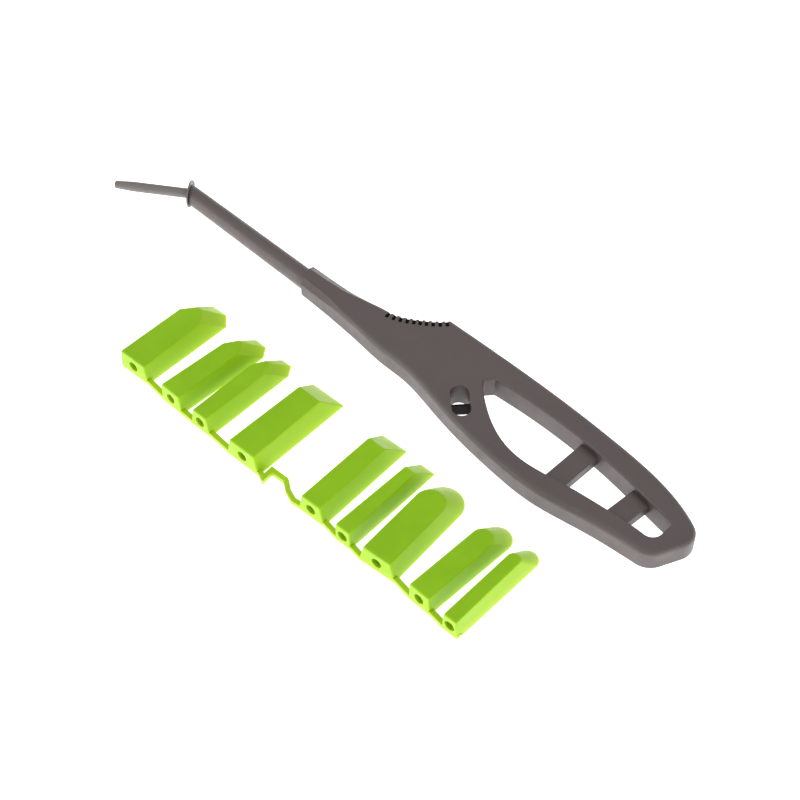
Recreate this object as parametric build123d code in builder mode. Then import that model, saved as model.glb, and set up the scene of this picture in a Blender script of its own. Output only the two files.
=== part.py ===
from build123d import *
import os
from math import cos, sin, radians

# Sealant joint-finishing tool, as supplied: a grey handle with a thin shaft and a bent, flanged pin,
# lying beside its strip of nine tear-off profile heads (three shapes in three sizes).
# Frame: +X runs from the pin to the tail of the handle, +Y from the strip to the handle, +Z up.
# Everything rests on z = 0, and the origin is the middle of the whole set's footprint.

os.makedirs("parts", exist_ok=True)

# ---------------------------------------------------------------- driving dimensions (mm)
TOOL_X, TOOL_Y = -33.9, 20.35        # nose of the handle, on the shaft's axis
HANDLE_THICK = 7.0
TOP_ROUND, BOTTOM_ROUND = 1.5, 1.1   # soft outer edges of the handle
TAIL_FAR_ROUND, TAIL_NEAR_ROUND = 5.2, 6.0           # plan corners of the tail
DIP_ROUND = 1.8                      # plan corner at the end of the thumb dip
RIM_ROUND = 0.5                      # rim of the loop window
WINDOW_FRONT_ROUND, WINDOW_FAR_ROUND, WINDOW_NEAR_ROUND = 1.3, 0.8, 3.0     # plan corners of the window

ROD_Y, ROD_Z = -0.25, 3.9            # the shaft's axis, from the nose's centre line and the table
ROD_R_NOSE, ROD_R_TIP = 3.05, 2.7    # the shaft tapers towards the pin
ROD_LENGTH = 49.9                    # nose to collar
TENON_R, TENON_LENGTH = 2.2, 14.0    # shaft end held inside the nose
FIT = 0.03                           # gap round a fixed tenon

BEND = 34.8                          # the pin's turn away from the shaft, in plan
COLLAR_ACROSS, COLLAR_HIGH, COLLAR_THICK = 8.6, 7.8, 0.4
PIN_R, PIN_TIP_R = 1.5, 1.15
PIN_STRAIGHT, PIN_TAPER, PIN_TIP_ROUND = 17.8, 5.4, 0.5
STUB_R, STUB_LENGTH = 1.2, 1.5       # hidden end of the pin, inside the shaft

NOSE_SLANT = 20.0                    # the nose face leans back on the near side, degrees
NOSE_X = 1.3                         # where the slanted nose face crosses the shaft's axis

RIB_COUNT, RIB_WIDTH = 10, 1.0
RIB_DEPTH, RIB_SHALLOW = 2.9, 0.35   # depth of a groove at the two flat faces, and between them
PIT_END, PIT_FLOOR, LIP_DROP = 1.0, 2.2, 1.0         # the pit at each end of a groove, inside a lower lip
RIB_START, RIB_END = 0.06, 0.94      # first and last groove, as shares of the dip

BAR_TOP, BAR_THICK = 4.9, 2.6        # cross-bars in the loop, sunk below both faces
BAR_FRONT = {"centre": (99.6, 1.0), "width": 6.0, "reach": 17.0, "turn": 0}
BAR_REAR = {"centre": (118.5, 1.0), "width": 6.2, "reach": 12.0, "turn": -4}
# distance along the nose, half-width of the grip there, width of the bevel across and down
FAR_BEVEL = [
    (-1, 3.6, 2.2, 1.4), (7, 3.75, 2.1, 1.4), (14, 3.9, 1.8, 1.2), (21, 4.7, 1.1, 0.8), (28, 6.0, 0.3, 0.3),
]
NEAR_BEVEL = [
    (-1, 3.7, 1.6, 1.5), (7, 3.8, 1.5, 1.4), (14, 4.0, 1.3, 1.2), (21, 4.4, 0.9, 0.9), (28, 5.0, 0.3, 0.3),
]

SLOT_LENGTH, SLOT_WIDTH, SLOT_ANGLE = 10.6, 5.2, -41.0
SLOT_CENTRE = (65.2, -4.0)
BLADE_WIDTH, BLADE_THICK, BLADE_HOLD = 3.6, 0.7, 1.4
BLADE_Z = 3.3                        # underside of the nozzle cutter's blade
GRIND_DEPTH, GRIND_WIDTH = 0.6, 1.1  # the blade's ground edge

HEAD_LENGTH, HEAD_HEIGHT = 32.4, 6.6
TIP_SETBACK = 7.2                    # the top face stops short of the working edge
HEAD_ROUND = 0.4
BASE_BEVEL, TOP_BEVEL = (0.27, 3.2), (0.42, 3.9)     # a bevel's share of the tip width, and its length
SOCKET_R, SOCKET_DEPTH, SOCKET_Z = 1.55, 23.0, 3.3
STRAND_WIDE, STRAND_HIGH, STRAND_GAP = 1.5, 1.4, 0.05

# shape, size, middle of the front face, lean of the head's axis from +Y (degrees, towards -X),
# widths of the top face at the front and at the tip, widths of the underside at the front and at the tip
HEADS = [
    ("bevel", "large", (-42.15, -35.5), 3.2, (9.0, 8.0), (10.9, 12.0)),
    ("bevel", "medium", (-26.1, -35.7), 0.3, (6.9, 5.7), (8.2, 8.9)),
    ("bevel", "small", (-14.4, -35.5), 2.6, (4.8, 5.1), (7.4, 7.7)),
    ("square", "large", (2.15, -35.3), 2.6, (8.8, 7.7), (11.8, 11.7)),
    ("square", "medium", (27.45, -34.5), 3.9, (6.1, 5.7), (8.9, 8.8)),
    ("square", "small", (39.15, -34.6), 2.8, (4.6, 3.3), (5.3, 5.2)),
    ("round", "large", (51.0, -34.3), 5.9, (8.5, 8.3), (11.6, 11.6)),
    ("round", "medium", (65.8, -34.4), 0.4, (6.4, 5.8), (7.4, 8.3)),
    ("round", "small", (76.4, -34.7), 2.3, (4.0, 3.7), (5.4, 6.2)),
]
# the sprung zigzag in the strand, between the two halves of the strip
ZIGZAG = [(10.0, -35.1), (9.7, -31.7), (14.7, -31.4), (17.8, -33.4), (20.8, -34.4)]

tool = Plane(origin=(TOOL_X, TOOL_Y, 0))
nose_face = Plane(
    origin=(TOOL_X + NOSE_X, TOOL_Y, 0),
    z_dir=(-cos(radians(NOSE_SLANT)), -sin(radians(NOSE_SLANT)), 0),
)
pin_base = Plane(
    origin=(TOOL_X - ROD_LENGTH, TOOL_Y + ROD_Y, ROD_Z),
    x_dir=(sin(radians(BEND)), -cos(radians(BEND)), 0),
    z_dir=(-cos(radians(BEND)), -sin(radians(BEND)), 0),
)
rod_plane = Plane(origin=(TOOL_X, TOOL_Y + ROD_Y, ROD_Z), x_dir=(0, 1, 0), z_dir=(1, 0, 0))


# ---------------------------------------------------------------- handle
# Flat grip with a thumb dip, an oblong nozzle hole and a long loop with two cross-bars.
with BuildLine():
    thumb_dip = Spline((28.0, 6.0), (32.8, 7.6), (36.7, 10.2), (40.6, 13.3), (42.6, 15.6))

with BuildPart() as handle:
    with BuildSketch(tool) as outline:
        with BuildLine():
            far_nose = Line((-1, 3.6), (14, 3.9))
            Spline(far_nose @ 1, (21, 4.7), (28.0, 6.0), tangents=(far_nose % 1, thumb_dip % 0))
            add(thumb_dip)
            Spline((42.6, 15.6), (65, 16.0), (86, 15.8), (104, 14.85), (121, 12.7), (131, 9.6),
                   (138.5, 5.5))
            Line((138.5, 5.5), (132.6, -7.8))
            Spline((132.6, -7.8), (125, -8.4), (112.5, -10.0), (98, -12.3), (84, -11.95), (66.5, -9.8),
                   (54.5, -7.3), (46.5, -5.9), (37, -5.7), (24, -4.5), (12, -3.95), (-1, -3.7))
            Line((-1, -3.7), (-1, 3.6))
        make_face()
        near_corner, far_corner = outline.vertices().sort_by(Axis.X)[-2:]
        fillet(near_corner, TAIL_NEAR_ROUND)
        fillet(outline.vertices().sort_by_distance(far_corner)[0], TAIL_FAR_ROUND)
        fillet(outline.vertices().filter_by_position(Axis.Y, 15.5, 15.7), DIP_ROUND)
    extrude(amount=HANDLE_THICK)
    split(bisect_by=nose_face, keep=Keep.BOTTOM)
    flats = handle.faces().sort_by(Axis.Z)
    for flat, radius in ((flats[-1], TOP_ROUND), (flats[0], BOTTOM_ROUND)):
        # every outer edge but the one at the nose face, where the shaft butts
        fillet(flat.edges().sort_by(Axis.X)[1:], radius)

    # loop window, narrowing towards the tail
    with BuildSketch(tool.offset(-1)) as window:
        with BuildLine():
            Spline((66.5, 8.1), (76, 8.8), (88, 9.0), (104, 8.1), (120, 5.8), (130.3, 4.2))
            Line((130.3, 4.2), (130.3, -3.4))
            Spline((130.3, -3.4), (124, -3.2), (116, -3.8), (104, -5.2), (97, -6.4), (89.5, -7.1),
                   (82.5, -6.1), (75.5, -3.1), (68.5, 1.7), (64.2, 5.4))
            Line((64.2, 5.4), (66.5, 8.1))
        make_face()
        tail_end = window.vertices().group_by(Axis.X)[-1].sort_by(Axis.Y)
        fillet(tail_end[0], WINDOW_NEAR_ROUND)
        fillet(tail_end[1], WINDOW_FAR_ROUND)
        fillet(window.vertices().group_by(Axis.X)[0], WINDOW_FRONT_ROUND)
    extrude(amount=HANDLE_THICK + 2, mode=Mode.SUBTRACT)
    top_and_bottom = handle.faces().sort_by(Axis.Z)
    top_rim = top_and_bottom[-1].inner_wires()[0].edges()
    bottom_rim = top_and_bottom[0].inner_wires()[0].edges()
    fillet(top_rim + bottom_rim, RIM_ROUND)

    # the two cross-bars
    for bar in (BAR_FRONT, BAR_REAR):
        with BuildSketch(tool.offset(BAR_TOP - BAR_THICK)):
            with Locations(bar["centre"]):
                Rectangle(bar["width"], bar["reach"], rotation=bar["turn"])
        extrude(amount=BAR_THICK)

    # oblong nozzle hole, right through, with side pockets that hold the blade
    with BuildSketch(tool.offset(-1)):
        with Locations(SLOT_CENTRE):
            SlotOverall(SLOT_LENGTH, SLOT_WIDTH, rotation=SLOT_ANGLE)
    extrude(amount=HANDLE_THICK + 2, mode=Mode.SUBTRACT)
    with BuildSketch(tool.offset(BLADE_Z - FIT)):
        with Locations(SLOT_CENTRE):
            Rectangle(BLADE_WIDTH + 2 * FIT, SLOT_WIDTH + 2 * (BLADE_HOLD + FIT), rotation=SLOT_ANGLE)
    extrude(amount=BLADE_THICK + 2 * FIT, mode=Mode.SUBTRACT)

    # thumb ribs: upright grooves across the dip, each with a pit where it meets the two flat faces
    for i in range(RIB_COUNT):
        along = RIB_START + (RIB_END - RIB_START) * i / (RIB_COUNT - 1)
        at, heading = thumb_dip @ along, thumb_dip % along
        groove = Plane(
            origin=tool.from_local_coords(at), x_dir=(-heading.Y, heading.X, 0), z_dir=heading
        )
        with BuildSketch(groove):
            with BuildLine():
                Polyline((-RIB_DEPTH, HANDLE_THICK), (-RIB_DEPTH, HANDLE_THICK - PIT_FLOOR),
                         (-PIT_END, HANDLE_THICK - PIT_FLOOR), (-RIB_SHALLOW, HANDLE_THICK - LIP_DROP),
                         (-RIB_SHALLOW, LIP_DROP), (-PIT_END, PIT_FLOOR), (-RIB_DEPTH, PIT_FLOOR),
                         (-RIB_DEPTH, 0), (2, 0), (2, HANDLE_THICK), close=True)
            make_face()
        extrude(amount=RIB_WIDTH / 2, both=True, mode=Mode.SUBTRACT)

    # flat bevels along the nose's four long edges, fading into the rounded grip
    for side, reach in ((1, FAR_BEVEL), (-1, NEAR_BEVEL)):
        for level, up in ((HANDLE_THICK, 1), (0, -1)):
            for x, edge, across, down in reach:
                with BuildSketch(Plane(origin=(TOOL_X + x, TOOL_Y, 0), x_dir=(0, 1, 0), z_dir=(1, 0, 0))):
                    with BuildLine():
                        Polyline((side * (edge - across), level), (side * edge, level - up * down),
                                 (side * (edge + 2), level - up * down), (side * (edge + 2), level + up * 2),
                                 (side * (edge - across), level + up * 2), close=True)
                    make_face()
            loft(ruled=True, mode=Mode.SUBTRACT)

    # socket for the shaft
    with BuildSketch(rod_plane.offset(-1)):
        Circle(TENON_R + FIT)
    extrude(amount=TENON_LENGTH + 1 + FIT, mode=Mode.SUBTRACT)
handle.part.label = "handle"
export_step(handle.part, "parts/handle.step")


# ---------------------------------------------------------------- nozzle cutter blade
with BuildPart() as nozzle_blade:
    with BuildSketch(tool.offset(BLADE_Z)):
        with Locations(SLOT_CENTRE):
            Rectangle(BLADE_WIDTH, SLOT_WIDTH + 2 * BLADE_HOLD, rotation=SLOT_ANGLE)
    extrude(amount=BLADE_THICK)
    long_upper_edges = nozzle_blade.edges().group_by(Axis.Z)[-1].group_by(SortBy.LENGTH)[-1]
    cutting_edge = long_upper_edges.sort_by(Axis.X)[0]
    chamfer(cutting_edge, length=GRIND_DEPTH, length2=GRIND_WIDTH)
nozzle_blade.part.label = "nozzle_blade"
export_step(nozzle_blade.part, "parts/nozzle_blade.step")


# ---------------------------------------------------------------- shaft
# A tapered round rod: square-cut by the nose, mitred at the collar, with a tenon into the nose.
with BuildPart() as shaft_rod:
    with BuildSketch(rod_plane.offset(-ROD_LENGTH - 6)):
        Circle(ROD_R_TIP)
    with BuildSketch(rod_plane.offset(6)):
        Circle(ROD_R_NOSE)
    loft()
    split(bisect_by=nose_face, keep=Keep.TOP)
    split(bisect_by=pin_base.offset(-COLLAR_THICK), keep=Keep.BOTTOM)
    with BuildSketch(rod_plane):
        Circle(TENON_R)
    extrude(amount=TENON_LENGTH)
    with BuildSketch(pin_base.offset(-COLLAR_THICK - STUB_LENGTH - FIT)):
        Circle(STUB_R + FIT)
    extrude(amount=STUB_LENGTH + 2, mode=Mode.SUBTRACT)
shaft_rod.part.label = "shaft_rod"
export_step(shaft_rod.part, "parts/shaft_rod.step")


# ---------------------------------------------------------------- flanged pin
# Carries whichever profile head is in use; the thin collar stops the head.
with BuildPart() as flanged_pin:
    with BuildSketch(pin_base.offset(-COLLAR_THICK)):
        Ellipse(COLLAR_ACROSS / 2, COLLAR_HIGH / 2)
    extrude(amount=COLLAR_THICK)
    with BuildSketch(pin_base.offset(-COLLAR_THICK - STUB_LENGTH)):
        Circle(STUB_R)
    extrude(amount=STUB_LENGTH)
    with BuildSketch(pin_base):
        Circle(PIN_R)
    extrude(amount=PIN_STRAIGHT)
    with BuildSketch(pin_base.offset(PIN_STRAIGHT)):
        Circle(PIN_R)
    with BuildSketch(pin_base.offset(PIN_STRAIGHT + PIN_TAPER)):
        Circle(PIN_TIP_R)
    loft()
    tip_edge = flanged_pin.edges().sort_by(Axis.X)[0]
    fillet(tip_edge, PIN_TIP_ROUND)
flanged_pin.part.label = "flanged_pin"
export_step(flanged_pin.part, "parts/flanged_pin.step")


# ---------------------------------------------------------------- profile heads
def seat(middle, lean):
    """Plane of a head's underside: origin under the middle of its front face, +Y along the head."""
    turn = radians(lean)
    return Plane(origin=(middle[0], middle[1], 0), x_dir=(cos(turn), sin(turn), 0))


def head_outline(shape, widths, length, bevel):
    """Plan of one level of a head: front edge on y = 0, tip at y = length."""
    front, tip = widths
    with BuildSketch() as plan:
        with BuildLine():
            if shape == "round":
                shoulder = length - tip / 2
                Line((tip / 2, shoulder), (front / 2, 0))
                Line((front / 2, 0), (-front / 2, 0))
                Line((-front / 2, 0), (-tip / 2, shoulder))
                ThreePointArc((-tip / 2, shoulder), (0, length), (tip / 2, shoulder))
            else:
                right = [(front / 2, 0), (tip / 2, length)]
                if shape == "bevel":
                    share, cut = bevel
                    right = [(front / 2, 0), (tip / 2, length - cut), (tip * (0.5 - share), length)]
                left = [(-x, y) for x, y in reversed(right)]
                Polyline(*right, *left, close=True)
        make_face()
    return plan.sketch


for shape, size, middle, lean, top, underside in HEADS:
    base = seat(middle, lean)
    with BuildPart() as head:
        with BuildSketch(base):
            add(head_outline(shape, underside, HEAD_LENGTH, BASE_BEVEL))
        with BuildSketch(base.offset(HEAD_HEIGHT)):
            add(head_outline(shape, top, HEAD_LENGTH - TIP_SETBACK, TOP_BEVEL))
        loft(ruled=True)
        fillet(head.edges().filter_by(lambda edge: edge.center().Z > HEAD_ROUND), HEAD_ROUND)
        # socket for the pin, and the rebate that the strand runs in
        front_face = Plane(origin=base.origin + Vector(0, 0, SOCKET_Z), x_dir=base.x_dir, z_dir=base.y_dir)
        with BuildSketch(front_face):
            Circle(SOCKET_R)
        extrude(amount=SOCKET_DEPTH, mode=Mode.SUBTRACT)
        with BuildSketch(base.offset(-1)):
            Rectangle(2 * underside[0], 2 * (STRAND_WIDE + STRAND_GAP))
        extrude(amount=1 + STRAND_HIGH + STRAND_GAP, mode=Mode.SUBTRACT)
    name = f"{shape}_head_{size}"
    head.part.label = name
    export_step(head.part, f"parts/{name}.step")


# ---------------------------------------------------------------- strand
# Thin strip that runs under the heads' front edges and holds them together.
def strand_points(heads, start_inset=0, end_inset=0):
    """Both ends of each head's rebate, along the middle of the strand."""
    points = []
    for _, _, middle, lean, _, underside in heads:
        for x in (-underside[0] / 2, underside[0] / 2):
            points.append((seat(middle, lean), x))
    points[0] = (points[0][0], points[0][1] + start_inset)
    points[-1] = (points[-1][0], points[-1][1] - end_inset)
    on_table = [plane.from_local_coords(Vector(x, STRAND_WIDE / 2, 0)) for plane, x in points]
    return [(at.X, at.Y) for at in on_table]


with BuildPart() as strand:
    with BuildSketch():
        with BuildLine():
            first_half = strand_points(HEADS[:4], start_inset=STRAND_WIDE / 2)
            second_half = strand_points(HEADS[4:], end_inset=STRAND_WIDE / 2)
            route = Polyline(*first_half, *ZIGZAG, *second_half)
            offset(route, amount=STRAND_WIDE / 2, side=Side.BOTH, kind=Kind.INTERSECTION, mode=Mode.REPLACE)
        make_face()
    extrude(amount=STRAND_HIGH)
strand.part.label = "strand"
export_step(strand.part, "parts/strand.step")
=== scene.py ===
import math

import bpy
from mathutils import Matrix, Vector

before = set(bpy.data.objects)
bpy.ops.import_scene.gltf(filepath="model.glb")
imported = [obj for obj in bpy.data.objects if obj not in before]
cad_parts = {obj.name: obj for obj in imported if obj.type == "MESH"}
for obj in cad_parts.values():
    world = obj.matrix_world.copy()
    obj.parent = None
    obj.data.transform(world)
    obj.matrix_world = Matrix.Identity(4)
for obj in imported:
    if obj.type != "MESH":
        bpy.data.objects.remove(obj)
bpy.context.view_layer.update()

# Lengths are in metres and angles in degrees, unless a comment says otherwise.

# ---------------------------------------------------------------- view
# Seen from in front of the strip and the tail of the handle, 49 degrees above the table.
VIEW_TARGET = Vector((0.0156, 0.0094, 0.0))
VIEW_DISTANCE = 0.450
VIEW_AZIMUTH, VIEW_ELEVATION = 45.0, 49.426
LENS, SENSOR_WIDTH = 74.97, 36.0  # millimetres
CLIP_START, CLIP_END = 0.01, 10.0

scene = bpy.context.scene
scene.view_settings.view_transform = "Standard"


def aim(obj, centre, azimuth, elevation, distance):
    """Put obj at a distance from centre and face it; azimuth 0 is towards -Y and 90 towards +X."""
    around, above = math.radians(azimuth), math.radians(elevation)
    towards = Vector((
        math.sin(around) * math.cos(above),
        -math.cos(around) * math.cos(above),
        math.sin(above),
    ))
    obj.location = centre + towards * distance
    obj.rotation_mode = "QUATERNION"
    obj.rotation_quaternion = (-towards).to_track_quat("-Z", "Y")


camera = bpy.data.objects.new("camera", bpy.data.cameras.new("camera"))
scene.collection.objects.link(camera)
camera.data.lens = LENS
camera.data.sensor_width = SENSOR_WIDTH
camera.data.clip_start = CLIP_START
camera.data.clip_end = CLIP_END
aim(camera, VIEW_TARGET, VIEW_AZIMUTH, VIEW_ELEVATION, VIEW_DISTANCE)
scene.camera = camera


# ---------------------------------------------------------------- node helpers
class Graph:
    """A material's node tree, with short calls for the nodes used here."""

    def __init__(self, name):
        self.material = bpy.data.materials.new(name)
        self.material.use_nodes = True
        self.tree = self.material.node_tree
        self.tree.nodes.clear()
        self.output = self.tree.nodes.new("ShaderNodeOutputMaterial")
        self.shader = self.tree.nodes.new("ShaderNodeBsdfPrincipled")
        self.link(self.shader.outputs["BSDF"], self.output.inputs["Surface"])
        self.place = self.tree.nodes.new("ShaderNodeTexCoord").outputs["Object"]

    def link(self, source, target):
        self.tree.links.new(source, target)

    def put(self, value, target):
        """Link a socket to the target, or write a plain value into it."""
        if isinstance(value, bpy.types.NodeSocket):
            self.link(value, target)
        else:
            target.default_value = value

    def fill(self, values):
        """Fill the shader's sockets by name, and give the material back."""
        for name, value in values.items():
            self.put(value, self.shader.inputs[name])
        return self.material

    def noise(self, size, detail=2.0, stretch=(1, 1, 1)):
        """Noise whose features are about size across, times stretch along each axis."""
        mapping = self.tree.nodes.new("ShaderNodeMapping")
        self.link(self.place, mapping.inputs["Vector"])
        mapping.inputs["Scale"].default_value = [1 / (size * s) for s in stretch]
        node = self.tree.nodes.new("ShaderNodeTexNoise")
        self.link(mapping.outputs["Vector"], node.inputs["Vector"])
        node.inputs["Scale"].default_value = 1.0
        node.inputs["Detail"].default_value = detail
        return node.outputs["Fac"]

    def remap(self, value, span, result=(0.0, 1.0)):
        """Stretch the span of a value to the two ends of the result, and hold it there outside."""
        node = self.tree.nodes.new("ShaderNodeMapRange")
        self.link(value, node.inputs["Value"])
        for name, number in zip(("From Min", "From Max", "To Min", "To Max"), (*span, *result)):
            node.inputs[name].default_value = number
        return node.outputs["Result"]

    def mix(self, factor, a, b):
        node = self.tree.nodes.new("ShaderNodeMix")
        node.data_type = "RGBA"
        self.link(factor, node.inputs["Factor"])
        self.put(a, node.inputs["A"])
        self.put(b, node.inputs["B"])
        return node.outputs["Result"]

    def bump(self, height, strength, distance, under=None):
        node = self.tree.nodes.new("ShaderNodeBump")
        node.inputs["Strength"].default_value = strength
        node.inputs["Distance"].default_value = distance
        self.link(height, node.inputs["Height"])
        if under is not None:
            self.link(under, node.inputs["Normal"])
        return node.outputs["Normal"]

    def painted_crevice_shade(self, distance, samples):
        """1 on open faces, falling towards 0 in narrow gaps and inside corners; the mask for painted
        shade.
        """
        node = self.tree.nodes.new("ShaderNodeAmbientOcclusion")
        node.samples = samples
        node.only_local = True
        node.inputs["Distance"].default_value = distance
        return node.outputs["AO"]

    def height(self):
        """The piece's own Z, which is its height above the table at rest."""
        node = self.tree.nodes.new("ShaderNodeSeparateXYZ")
        self.link(self.place, node.inputs[0])
        return node.outputs["Z"]


def rgb(r, g, b):
    """sRGB 0-255 to the linear colour that the sockets take."""
    linear = [c / 255 / 12.92 if c <= 10 else ((c / 255 + 0.055) / 1.055) ** 2.4 for c in (r, g, b)]
    return (*linear, 1.0)


# ---------------------------------------------------------------- material numbers
# Spans of a noise's value that are stretched to a full change of tone: the wider, the softer.
SOFT_SPAN, CLEAR_SPAN = (0.3, 0.7), (0.35, 0.65)

# Each bump is the size and detail of its noise, its strength and its depth; the fine one comes first.
GREY_BUMPS = ((0.00035, 3.0, 0.25, 0.00004), (0.009, 2.0, 0.3, 0.0001))
GREEN_BUMPS = ((0.0004, 2.0, 0.15, 0.00003), (0.007, 2.0, 0.3, 0.00012))

GREY_FLOW_SIZE, GREY_FLOW_STRETCH = 0.030, (2.5, 1, 1)
GREY_GLOSS_SIZE, GREY_ROUGHNESS, GREY_SPECULAR = 0.004, (0.40, 0.54), 0.8
FLECK_SIZE, FLECK_SPAN, FLECK_AMOUNT = 0.0004, (0.55, 0.75), 0.25
# Painted shade: the grey is darkened towards this colour in narrow gaps and inside corners, where shade
# falls.
PAINTED_SHADE_REACH, PAINTED_SHADE_SAMPLES = 0.005, 8
PAINTED_SHADE_SPAN, PAINTED_SHADE_AMOUNT, PAINTED_SHADE_COLOUR = (0.25, 0.85), 0.6, rgb(34, 29, 27)

STEEL_DARK, STEEL_LIGHT = rgb(36, 28, 28), rgb(54, 44, 43)
STEEL_LINE_SIZE, STEEL_LINE_STRETCH = 0.0006, (6, 0.25, 1)
STEEL_LINE_STRENGTH, STEEL_LINE_DEPTH = 0.3, 0.00003
STEEL_METALLIC, STEEL_ROUGHNESS = 0.6, (0.38, 0.55)

GREEN_DARK, GREEN_LIGHT = rgb(138, 188, 0), rgb(145, 195, 4)
GREEN_FLOW_SIZE = 0.012
GREEN_GLOSS_SIZE, GREEN_ROUGHNESS, GREEN_SPECULAR = 0.003, (0.36, 0.50), 0.25
SUBSURFACE_WEIGHT, SUBSURFACE_RADIUS, SUBSURFACE_SCALE = 0.4, (1.0, 1.0, 0.25), 0.0012
# Painted light: the walls are painted paler than the top, where light falls on their sides, and paler
# again close to the table, as a painted bounce of light from the floor.
PAINTED_WALL_LIGHT_COLOUR, PAINTED_WALL_LIGHT_SPAN, PAINTED_WALL_LIGHT_AMOUNT = rgb(178, 206, 44), (0.0058, 0.0065), 0.35
PAINTED_BOUNCE_LIGHT_COLOUR, PAINTED_BOUNCE_LIGHT_SPAN, PAINTED_BOUNCE_LIGHT_AMOUNT = rgb(205, 228, 60), (0.0, 0.0030), 0.35

FLOOR_DARK, FLOOR_LIGHT, FLOOR_PATCH_SIZE = rgb(244, 244, 244), rgb(247, 247, 247), 0.25
FLOOR_ROUGHNESS, FLOOR_SPECULAR, FLOOR_GLOW = 0.9, 0.1, 1.25
WHITE = (1, 1, 1, 1)


# ---------------------------------------------------------------- materials
def layered_bumps(g, bumps):
    """One normal from several noise bumps, each laid over the one before it."""
    normal = None
    for size, detail, strength, depth in bumps:
        normal = g.bump(g.noise(size, detail), strength, depth, under=normal)
    return normal


def grey_plastic(name, dark, light, fleck):
    """Warm dark grey moulded plastic with a fine satin texture, faint flow shading, and painted shade in
    narrow gaps and inside corners.
    """
    g = Graph(name)
    flow = g.noise(GREY_FLOW_SIZE, detail=3.0, stretch=GREY_FLOW_STRETCH)
    speckle = g.remap(g.noise(FLECK_SIZE), FLECK_SPAN, (0.0, FLECK_AMOUNT))
    # Painted shade: darken the colour in narrow gaps and inside corners.
    painted_crevice_shade = g.remap(g.painted_crevice_shade(PAINTED_SHADE_REACH, PAINTED_SHADE_SAMPLES), PAINTED_SHADE_SPAN, (PAINTED_SHADE_AMOUNT, 0.0))
    base = g.mix(g.remap(flow, CLEAR_SPAN), dark, light)
    base = g.mix(speckle, base, fleck)
    gloss = g.noise(GREY_GLOSS_SIZE, detail=4.0)
    return g.fill({
        "Base Color": g.mix(painted_crevice_shade, base, PAINTED_SHADE_COLOUR),
        "Specular IOR Level": GREY_SPECULAR,
        "Roughness": g.remap(gloss, SOFT_SPAN, GREY_ROUGHNESS),
        "Normal": layered_bumps(g, GREY_BUMPS),
    })


def blade_steel():
    """Dark blued steel with fine grinding lines across the blade."""
    g = Graph("blade_steel")
    lines = g.noise(STEEL_LINE_SIZE, detail=3.0, stretch=STEEL_LINE_STRETCH)
    return g.fill({
        "Base Color": g.mix(g.remap(lines, SOFT_SPAN), STEEL_DARK, STEEL_LIGHT),
        "Metallic": STEEL_METALLIC,
        "Roughness": g.remap(lines, SOFT_SPAN, STEEL_ROUGHNESS),
        "Normal": g.bump(lines, STEEL_LINE_STRENGTH, STEEL_LINE_DEPTH),
    })


def green_plastic():
    """Lime green soft plastic that lets a little light through its thin edges, with painted light making
    its walls paler than its top and paler again near the table.
    """
    g = Graph("green_plastic")
    flow = g.noise(GREEN_FLOW_SIZE, detail=3.0)
    height = g.height()
    base = g.mix(g.remap(flow, CLEAR_SPAN), GREEN_DARK, GREEN_LIGHT)
    # Painted light: the walls below the top face are made paler, as where light falls on them.
    base = g.mix(g.remap(height, PAINTED_WALL_LIGHT_SPAN, (PAINTED_WALL_LIGHT_AMOUNT, 0.0)), base, PAINTED_WALL_LIGHT_COLOUR)
    # Painted light: paler again near the table, standing in for light bounced up from the floor.
    base = g.mix(g.remap(height, PAINTED_BOUNCE_LIGHT_SPAN, (PAINTED_BOUNCE_LIGHT_AMOUNT, 0.0)), base, PAINTED_BOUNCE_LIGHT_COLOUR)
    gloss = g.noise(GREEN_GLOSS_SIZE, detail=4.0)
    return g.fill({
        "Base Color": base,
        "Roughness": g.remap(gloss, SOFT_SPAN, GREEN_ROUGHNESS),
        "Specular IOR Level": GREEN_SPECULAR,
        "Subsurface Weight": SUBSURFACE_WEIGHT,
        "Subsurface Radius": SUBSURFACE_RADIUS,
        "Subsurface Scale": SUBSURFACE_SCALE,
        "Normal": layered_bumps(g, GREEN_BUMPS),
    })


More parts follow.
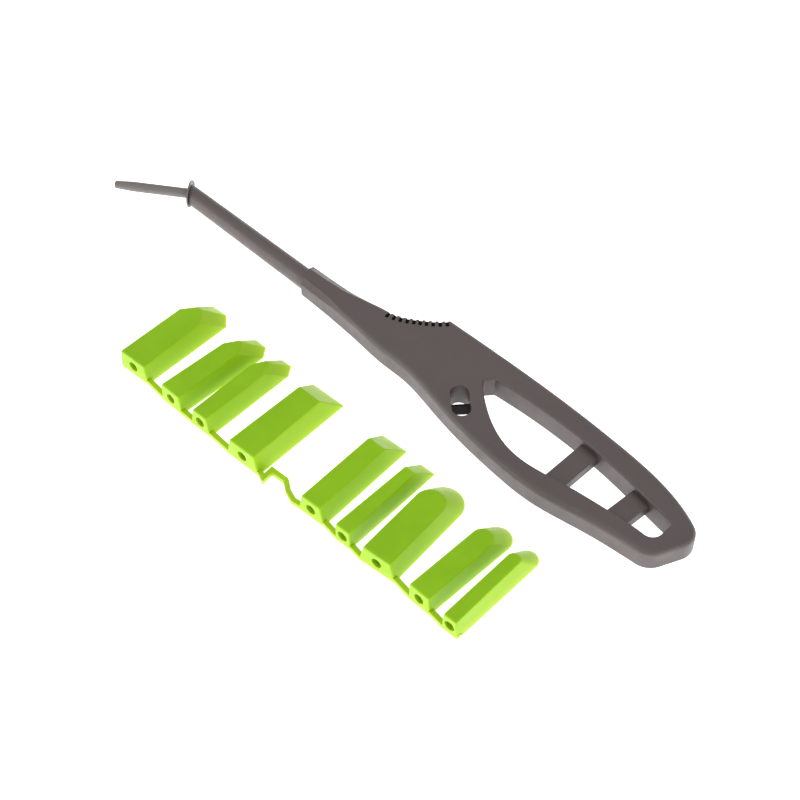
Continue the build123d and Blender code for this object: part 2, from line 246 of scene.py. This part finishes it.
def floor_material():
    """White, with a glow strong enough that no shadow shows on it."""
    g = Graph("floor")
    patches = g.remap(g.noise(FLOOR_PATCH_SIZE), SOFT_SPAN)
    return g.fill({
        "Base Color": g.mix(patches, FLOOR_DARK, FLOOR_LIGHT),
        "Roughness": FLOOR_ROUGHNESS,
        "Specular IOR Level": FLOOR_SPECULAR,
        "Emission Color": WHITE,
        "Emission Strength": FLOOR_GLOW,
    })


grey = grey_plastic("grey_plastic", rgb(72, 60, 59), rgb(78, 66, 64), rgb(92, 80, 77))
pale_grey = grey_plastic("pale_grey_plastic", rgb(98, 92, 89), rgb(107, 100, 97), rgb(122, 115, 110))
steel, green = blade_steel(), green_plastic()
MATERIAL_OF = {"handle": grey, "shaft_rod": grey, "flanged_pin": pale_grey, "nozzle_blade": steel}
for name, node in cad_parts.items():
    node.data.materials.clear()
    node.data.materials.append(MATERIAL_OF.get(name, green))


# ---------------------------------------------------------------- floor
FLOOR_HALF = 3.0
FLOOR_Z = -0.00005  # just under the pieces that lie on it
CORNERS = ((-1, -1), (1, -1), (1, 1), (-1, 1))

floor_mesh = bpy.data.meshes.new("floor")
floor_mesh.from_pydata([(x * FLOOR_HALF, y * FLOOR_HALF, FLOOR_Z) for x, y in CORNERS], [], [(0, 1, 2, 3)])
floor = bpy.data.objects.new("floor", floor_mesh)
scene.collection.objects.link(floor)
floor_mesh.materials.append(floor_material())


# ---------------------------------------------------------------- light
MIDDLE_OF_SET = Vector((0, 0, 0))
WORLD_STRENGTH = 0.78


def area_light(name, azimuth, elevation, distance, size, watts):
    """A round white lamp that faces the middle of the set."""
    data = bpy.data.lights.new(name, "AREA")
    data.shape = "DISK"
    data.size, data.energy = size, watts
    lamp = bpy.data.objects.new(name, data)
    scene.collection.objects.link(lamp)
    aim(lamp, MIDDLE_OF_SET, azimuth, elevation, distance)


area_light("key", azimuth=-40, elevation=68, distance=1.3, size=1.4, watts=1.6)
area_light("left", azimuth=-35, elevation=14, distance=1.2, size=0.8, watts=3.4)
area_light("right", azimuth=78, elevation=16, distance=1.3, size=0.9, watts=1.8)

world = bpy.data.worlds.new("studio")
scene.world = world
world.use_nodes = True
background = world.node_tree.nodes["Background"]
background.inputs["Color"].default_value = WHITE
background.inputs["Strength"].default_value = WORLD_STRENGTH
